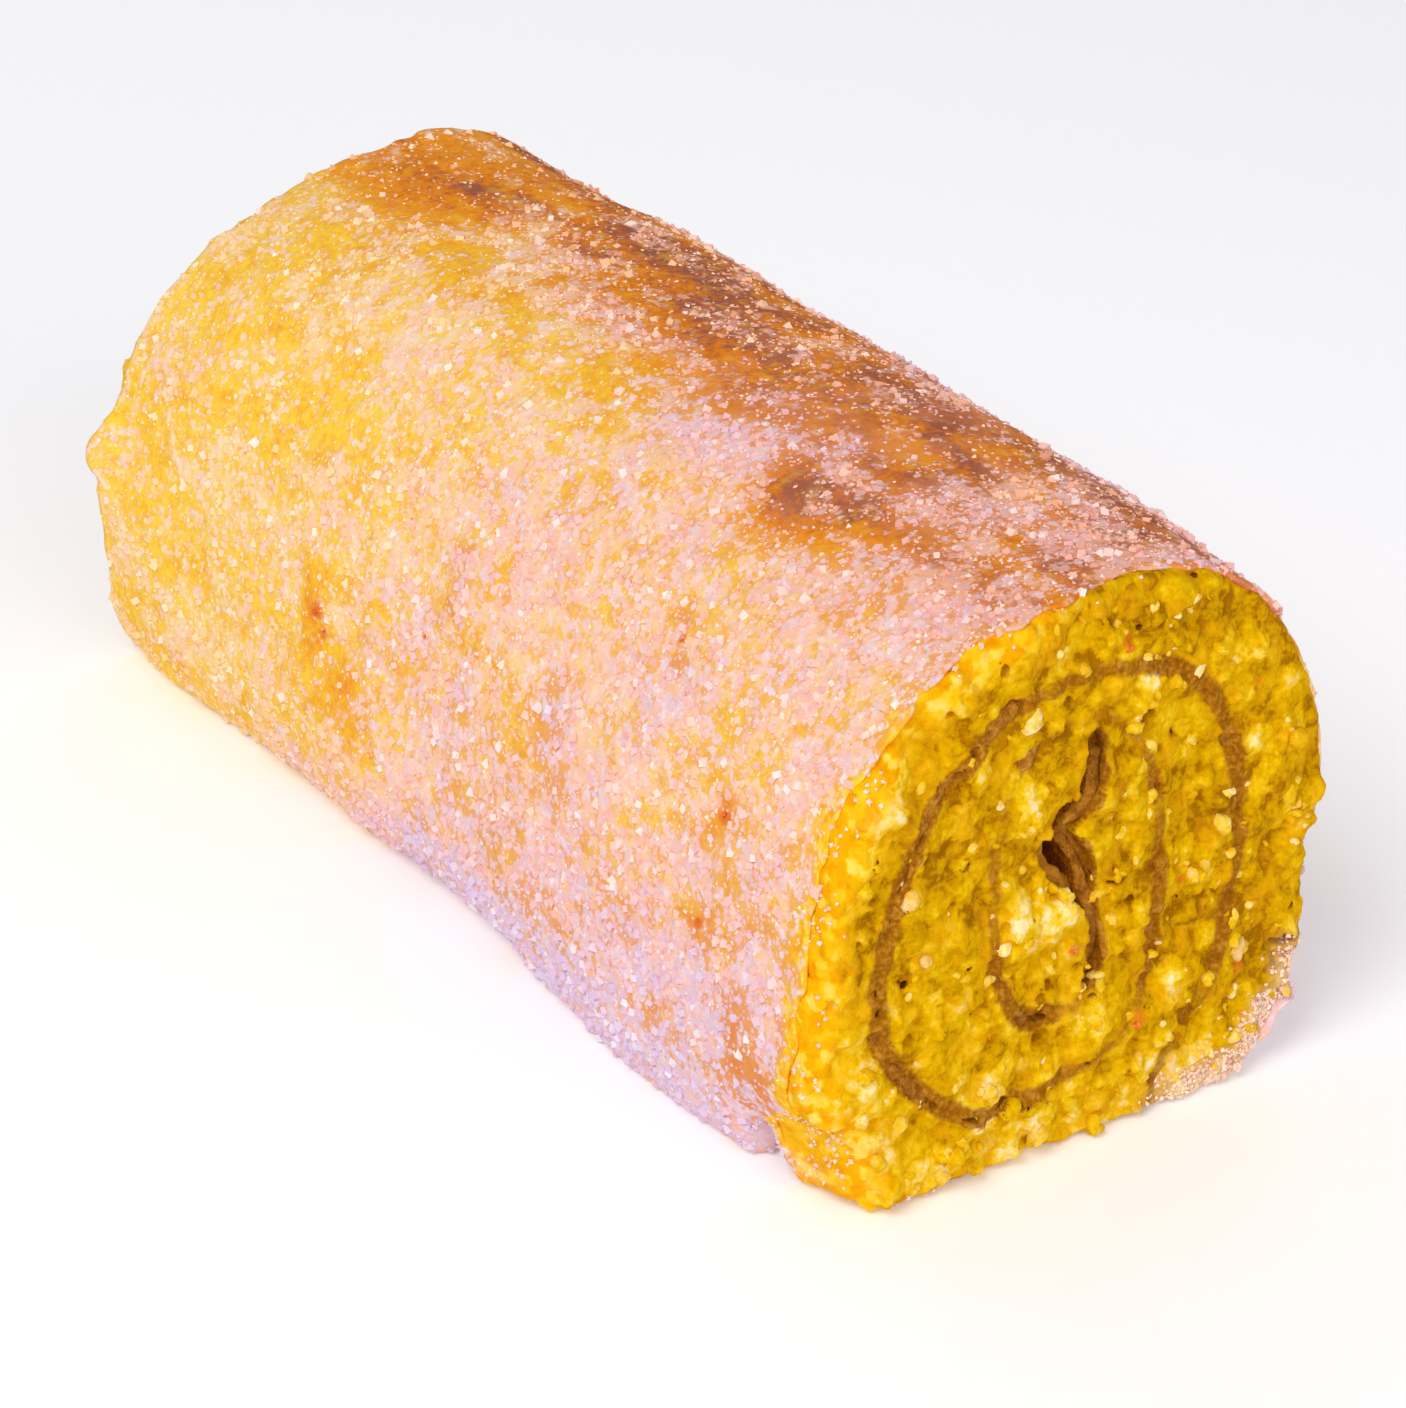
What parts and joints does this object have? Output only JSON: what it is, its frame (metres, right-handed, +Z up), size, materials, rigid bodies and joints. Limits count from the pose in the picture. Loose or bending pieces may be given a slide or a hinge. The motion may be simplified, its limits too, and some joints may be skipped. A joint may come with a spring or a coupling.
{
  "type": "orange roll cake",
  "caption": "Soft sponge sheet rolled up round a thin filling, lying on its seam with both ends cut and a sugared skin.",
  "frame": {"origin": "on the table under the middle of the roll's box", "axes": "+X along the roll towards the cut end with the open core, +Y to the right seen from that end, +Z up"},
  "size_m": [0.2099, 0.0945, 0.0808],
  "materials": {
    "sponge": "soft open crumb under a golden browned skin dusted with sugar",
    "filling": "moist brown syrupy layer"
  },
  "bodies": {
    "root": {"sponge": "sponge", "filling": "filling"}
  },
  "joints": []
}
